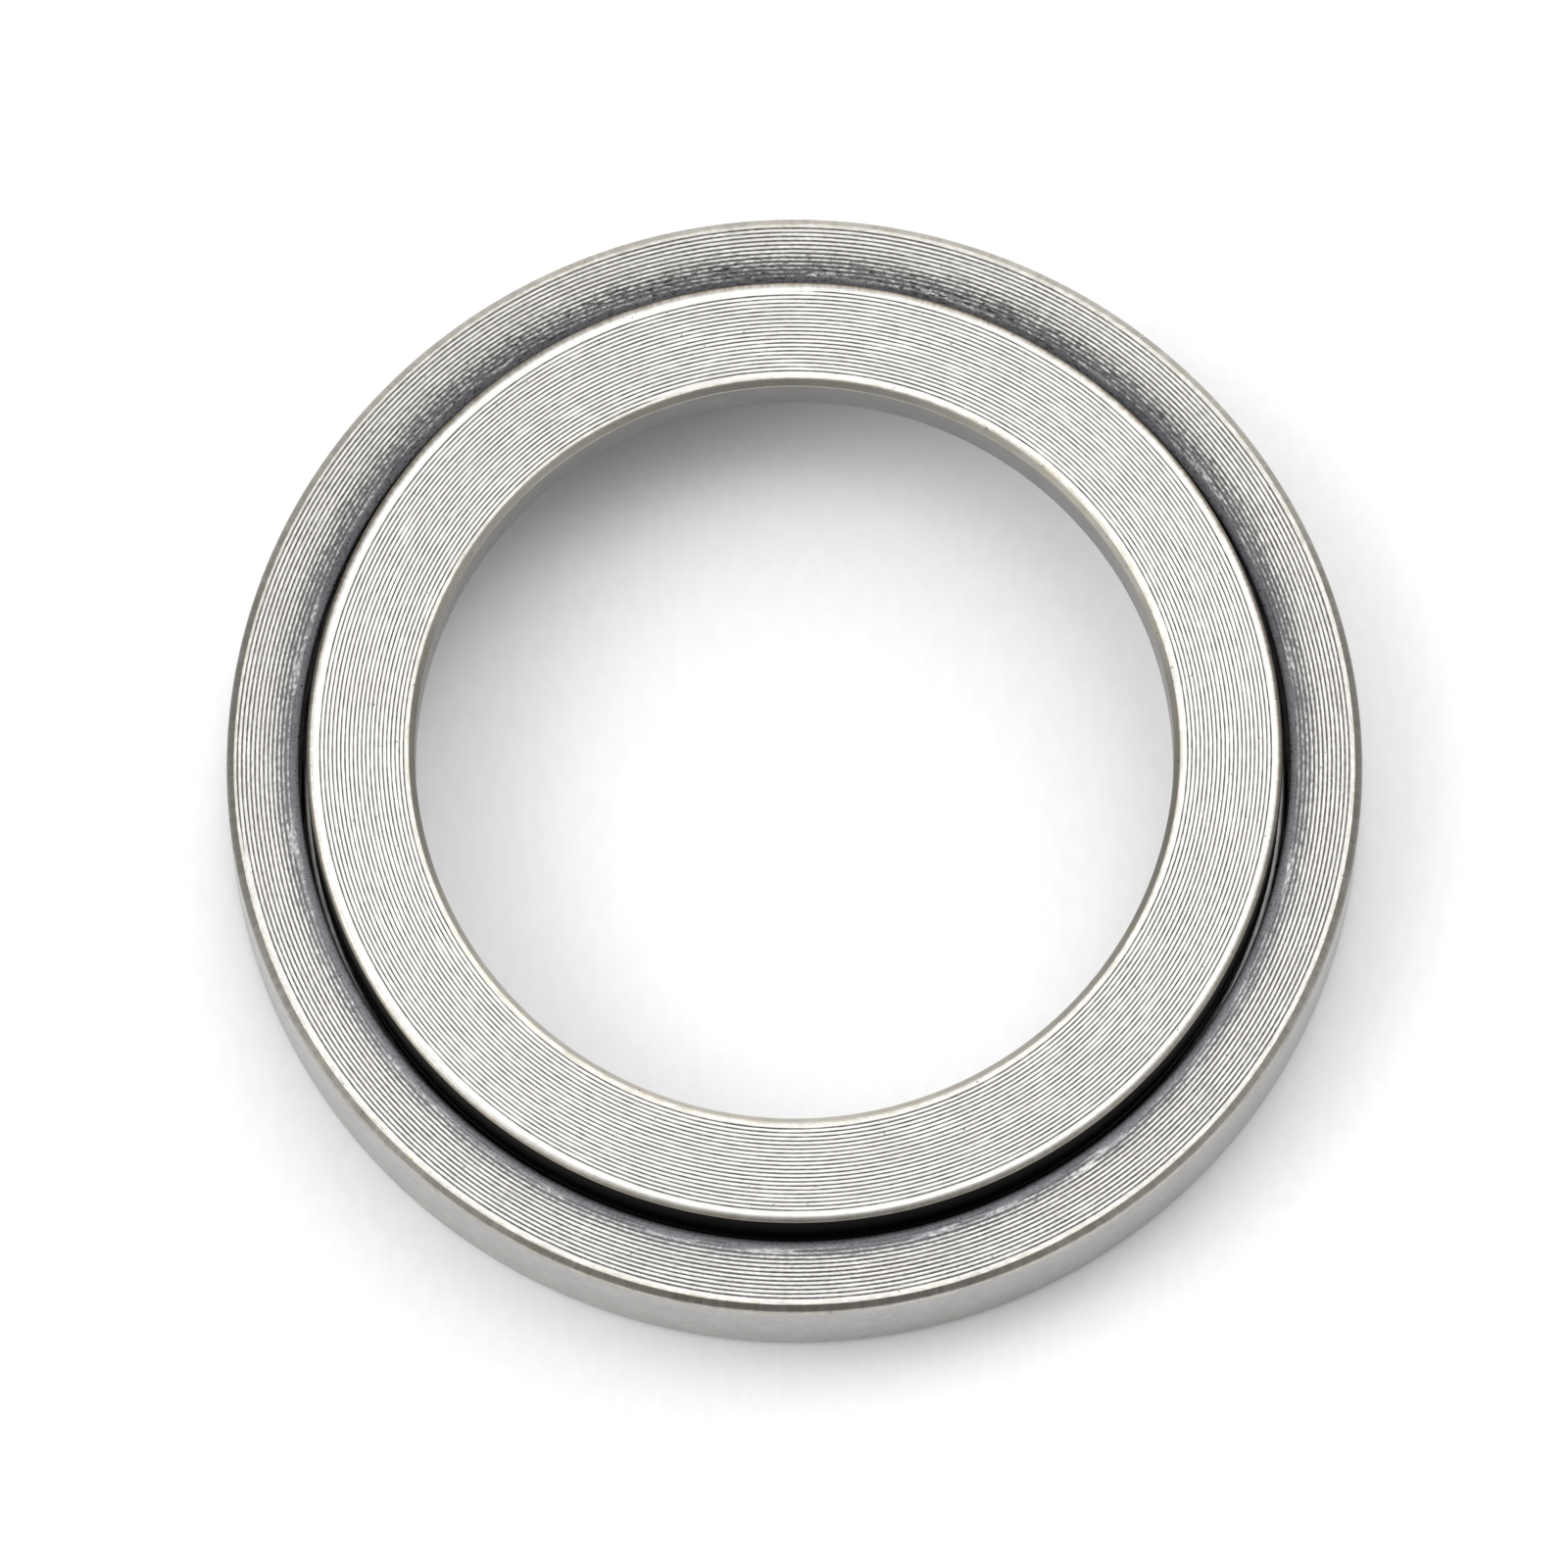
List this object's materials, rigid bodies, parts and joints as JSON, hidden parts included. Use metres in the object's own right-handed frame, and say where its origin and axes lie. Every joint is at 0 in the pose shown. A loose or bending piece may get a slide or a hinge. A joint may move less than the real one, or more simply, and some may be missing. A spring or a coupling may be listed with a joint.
{
  "type": "thrust ball bearing",
  "caption": "Single-direction thrust ball bearing: a housing ring with a raised wall, a row of caged balls, and a shaft washer that turns on them and stands proud of the wall.",
  "frame": {"origin": "on the bearing's axis, in the plane of the flat face that the housing ring rests on", "axes": "+Z along the bearing's axis, from the housing ring's seat towards the shaft washer's face; +X and +Y lie in the seat's plane, and the first ball lies on +X"},
  "size_m": [0.045, 0.045, 0.0071],
  "materials": {
    "ring_steel": "fine-turned bearing steel with circular feed marks",
    "ball_steel": "ground and polished hardened steel",
    "cage_steel": "satin pressed steel"
  },
  "bodies": {
    "housing": {"housing_ring": "ring_steel"},
    "washer": {"shaft_washer": "ring_steel"},
    "cage": {"ball_cage": "cage_steel"},
    "ball_01": {"ball_01": "ball_steel"},
    "ball_02": {"ball_02": "ball_steel"},
    "ball_03": {"ball_03": "ball_steel"},
    "ball_04": {"ball_04": "ball_steel"},
    "ball_05": {"ball_05": "ball_steel"},
    "ball_06": {"ball_06": "ball_steel"},
    "ball_07": {"ball_07": "ball_steel"},
    "ball_08": {"ball_08": "ball_steel"},
    "ball_09": {"ball_09": "ball_steel"},
    "ball_10": {"ball_10": "ball_steel"},
    "ball_11": {"ball_11": "ball_steel"},
    "ball_12": {"ball_12": "ball_steel"},
    "ball_13": {"ball_13": "ball_steel"},
    "ball_14": {"ball_14": "ball_steel"},
    "ball_15": {"ball_15": "ball_steel"},
    "ball_16": {"ball_16": "ball_steel"},
    "ball_17": {"ball_17": "ball_steel"},
    "ball_18": {"ball_18": "ball_steel"},
    "ball_19": {"ball_19": "ball_steel"},
    "ball_20": {"ball_20": "ball_steel"},
    "ball_21": {"ball_21": "ball_steel"},
    "ball_22": {"ball_22": "ball_steel"},
    "ball_23": {"ball_23": "ball_steel"},
    "ball_24": {"ball_24": "ball_steel"},
    "ball_25": {"ball_25": "ball_steel"},
    "ball_26": {"ball_26": "ball_steel"},
    "ball_27": {"ball_27": "ball_steel"},
    "ball_28": {"ball_28": "ball_steel"},
    "ball_29": {"ball_29": "ball_steel"},
    "ball_30": {"ball_30": "ball_steel"}
  },
  "joints": [
    {"name": "shaft_washer_turn", "type": "hinge", "parent": "housing", "child": "washer", "pos_m": [0, 0, 0.00585], "axis": [0, 0, 1], "continuous": true},
    {"name": "cage_turn", "type": "hinge", "parent": "housing", "child": "cage", "pos_m": [0, 0, 0.00355], "axis": [0, 0, 1], "continuous": true},
    {"name": "ball_01_spin", "type": "hinge", "parent": "cage", "child": "ball_01", "pos_m": [0.0176, 0, 0.00355], "axis": [1, 0, 0], "continuous": true},
    {"name": "ball_02_spin", "type": "hinge", "parent": "cage", "child": "ball_02", "pos_m": [0.01722, 0.00366, 0.00355], "axis": [0.9781, 0.2079, 0], "continuous": true},
    {"name": "ball_03_spin", "type": "hinge", "parent": "cage", "child": "ball_03", "pos_m": [0.01608, 0.00716, 0.00355], "axis": [0.9135, 0.4067, 0], "continuous": true},
    {"name": "ball_04_spin", "type": "hinge", "parent": "cage", "child": "ball_04", "pos_m": [0.01424, 0.01035, 0.00355], "axis": [0.809, 0.5878, 0], "continuous": true},
    {"name": "ball_05_spin", "type": "hinge", "parent": "cage", "child": "ball_05", "pos_m": [0.01178, 0.01308, 0.00355], "axis": [0.6691, 0.7431, 0], "continuous": true},
    {"name": "ball_06_spin", "type": "hinge", "parent": "cage", "child": "ball_06", "pos_m": [0.0088, 0.01524, 0.00355], "axis": [0.5, 0.866, 0], "continuous": true},
    {"name": "ball_07_spin", "type": "hinge", "parent": "cage", "child": "ball_07", "pos_m": [0.00544, 0.01674, 0.00355], "axis": [0.309, 0.9511, 0], "continuous": true},
    {"name": "ball_08_spin", "type": "hinge", "parent": "cage", "child": "ball_08", "pos_m": [0.00184, 0.0175, 0.00355], "axis": [0.1045, 0.9945, 0], "continuous": true},
    {"name": "ball_09_spin", "type": "hinge", "parent": "cage", "child": "ball_09", "pos_m": [-0.00184, 0.0175, 0.00355], "axis": [-0.1045, 0.9945, 0], "continuous": true},
    {"name": "ball_10_spin", "type": "hinge", "parent": "cage", "child": "ball_10", "pos_m": [-0.00544, 0.01674, 0.00355], "axis": [-0.309, 0.9511, 0], "continuous": true},
    {"name": "ball_11_spin", "type": "hinge", "parent": "cage", "child": "ball_11", "pos_m": [-0.0088, 0.01524, 0.00355], "axis": [-0.5, 0.866, 0], "continuous": true},
    {"name": "ball_12_spin", "type": "hinge", "parent": "cage", "child": "ball_12", "pos_m": [-0.01178, 0.01308, 0.00355], "axis": [-0.6691, 0.7431, 0], "continuous": true},
    {"name": "ball_13_spin", "type": "hinge", "parent": "cage", "child": "ball_13", "pos_m": [-0.01424, 0.01035, 0.00355], "axis": [-0.809, 0.5878, 0], "continuous": true},
    {"name": "ball_14_spin", "type": "hinge", "parent": "cage", "child": "ball_14", "pos_m": [-0.01608, 0.00716, 0.00355], "axis": [-0.9135, 0.4067, 0], "continuous": true},
    {"name": "ball_15_spin", "type": "hinge", "parent": "cage", "child": "ball_15", "pos_m": [-0.01722, 0.00366, 0.00355], "axis": [-0.9781, 0.2079, 0], "continuous": true},
    {"name": "ball_16_spin", "type": "hinge", "parent": "cage", "child": "ball_16", "pos_m": [-0.0176, 0, 0.00355], "axis": [-1, 0, 0], "continuous": true},
    {"name": "ball_17_spin", "type": "hinge", "parent": "cage", "child": "ball_17", "pos_m": [-0.01722, -0.00366, 0.00355], "axis": [-0.9781, -0.2079, 0], "continuous": true},
    {"name": "ball_18_spin", "type": "hinge", "parent": "cage", "child": "ball_18", "pos_m": [-0.01608, -0.00716, 0.00355], "axis": [-0.9135, -0.4067, 0], "continuous": true},
    {"name": "ball_19_spin", "type": "hinge", "parent": "cage", "child": "ball_19", "pos_m": [-0.01424, -0.01035, 0.00355], "axis": [-0.809, -0.5878, 0], "continuous": true},
    {"name": "ball_20_spin", "type": "hinge", "parent": "cage", "child": "ball_20", "pos_m": [-0.01178, -0.01308, 0.00355], "axis": [-0.6691, -0.7431, 0], "continuous": true},
    {"name": "ball_21_spin", "type": "hinge", "parent": "cage", "child": "ball_21", "pos_m": [-0.0088, -0.01524, 0.00355], "axis": [-0.5, -0.866, 0], "continuous": true},
    {"name": "ball_22_spin", "type": "hinge", "parent": "cage", "child": "ball_22", "pos_m": [-0.00544, -0.01674, 0.00355], "axis": [-0.309, -0.9511, 0], "continuous": true},
    {"name": "ball_23_spin", "type": "hinge", "parent": "cage", "child": "ball_23", "pos_m": [-0.00184, -0.0175, 0.00355], "axis": [-0.1045, -0.9945, 0], "continuous": true},
    {"name": "ball_24_spin", "type": "hinge", "parent": "cage", "child": "ball_24", "pos_m": [0.00184, -0.0175, 0.00355], "axis": [0.1045, -0.9945, 0], "continuous": true},
    {"name": "ball_25_spin", "type": "hinge", "parent": "cage", "child": "ball_25", "pos_m": [0.00544, -0.01674, 0.00355], "axis": [0.309, -0.9511, 0], "continuous": true},
    {"name": "ball_26_spin", "type": "hinge", "parent": "cage", "child": "ball_26", "pos_m": [0.0088, -0.01524, 0.00355], "axis": [0.5, -0.866, 0], "continuous": true},
    {"name": "ball_27_spin", "type": "hinge", "parent": "cage", "child": "ball_27", "pos_m": [0.01178, -0.01308, 0.00355], "axis": [0.6691, -0.7431, 0], "continuous": true},
    {"name": "ball_28_spin", "type": "hinge", "parent": "cage", "child": "ball_28", "pos_m": [0.01424, -0.01035, 0.00355], "axis": [0.809, -0.5878, 0], "continuous": true},
    {"name": "ball_29_spin", "type": "hinge", "parent": "cage", "child": "ball_29", "pos_m": [0.01608, -0.00716, 0.00355], "axis": [0.9135, -0.4067, 0], "continuous": true},
    {"name": "ball_30_spin", "type": "hinge", "parent": "cage", "child": "ball_30", "pos_m": [0.01722, -0.00366, 0.00355], "axis": [0.9781, -0.2079, 0], "continuous": true}
  ],
  "couplings": [
    {"joint": "cage_turn", "follows": "shaft_washer_turn", "ratio": 0.5},
    {"joint": "ball_01_spin", "follows": "shaft_washer_turn", "ratio": -6.3355},
    {"joint": "ball_02_spin", "follows": "shaft_washer_turn", "ratio": -6.3355},
    {"joint": "ball_03_spin", "follows": "shaft_washer_turn", "ratio": -6.3355},
    {"joint": "ball_04_spin", "follows": "shaft_washer_turn", "ratio": -6.3355},
    {"joint": "ball_05_spin", "follows": "shaft_washer_turn", "ratio": -6.3355},
    {"joint": "ball_06_spin", "follows": "shaft_washer_turn", "ratio": -6.3355},
    {"joint": "ball_07_spin", "follows": "shaft_washer_turn", "ratio": -6.3355},
    {"joint": "ball_08_spin", "follows": "shaft_washer_turn", "ratio": -6.3355},
    {"joint": "ball_09_spin", "follows": "shaft_washer_turn", "ratio": -6.3355},
    {"joint": "ball_10_spin", "follows": "shaft_washer_turn", "ratio": -6.3355},
    {"joint": "ball_11_spin", "follows": "shaft_washer_turn", "ratio": -6.3355},
    {"joint": "ball_12_spin", "follows": "shaft_washer_turn", "ratio": -6.3355},
    {"joint": "ball_13_spin", "follows": "shaft_washer_turn", "ratio": -6.3355},
    {"joint": "ball_14_spin", "follows": "shaft_washer_turn", "ratio": -6.3355},
    {"joint": "ball_15_spin", "follows": "shaft_washer_turn", "ratio": -6.3355},
    {"joint": "ball_16_spin", "follows": "shaft_washer_turn", "ratio": -6.3355},
    {"joint": "ball_17_spin", "follows": "shaft_washer_turn", "ratio": -6.3355},
    {"joint": "ball_18_spin", "follows": "shaft_washer_turn", "ratio": -6.3355},
    {"joint": "ball_19_spin", "follows": "shaft_washer_turn", "ratio": -6.3355},
    {"joint": "ball_20_spin", "follows": "shaft_washer_turn", "ratio": -6.3355},
    {"joint": "ball_21_spin", "follows": "shaft_washer_turn", "ratio": -6.3355},
    {"joint": "ball_22_spin", "follows": "shaft_washer_turn", "ratio": -6.3355},
    {"joint": "ball_23_spin", "follows": "shaft_washer_turn", "ratio": -6.3355},
    {"joint": "ball_24_spin", "follows": "shaft_washer_turn", "ratio": -6.3355},
    {"joint": "ball_25_spin", "follows": "shaft_washer_turn", "ratio": -6.3355},
    {"joint": "ball_26_spin", "follows": "shaft_washer_turn", "ratio": -6.3355},
    {"joint": "ball_27_spin", "follows": "shaft_washer_turn", "ratio": -6.3355},
    {"joint": "ball_28_spin", "follows": "shaft_washer_turn", "ratio": -6.3355},
    {"joint": "ball_29_spin", "follows": "shaft_washer_turn", "ratio": -6.3355},
    {"joint": "ball_30_spin", "follows": "shaft_washer_turn", "ratio": -6.3355}
  ]
}
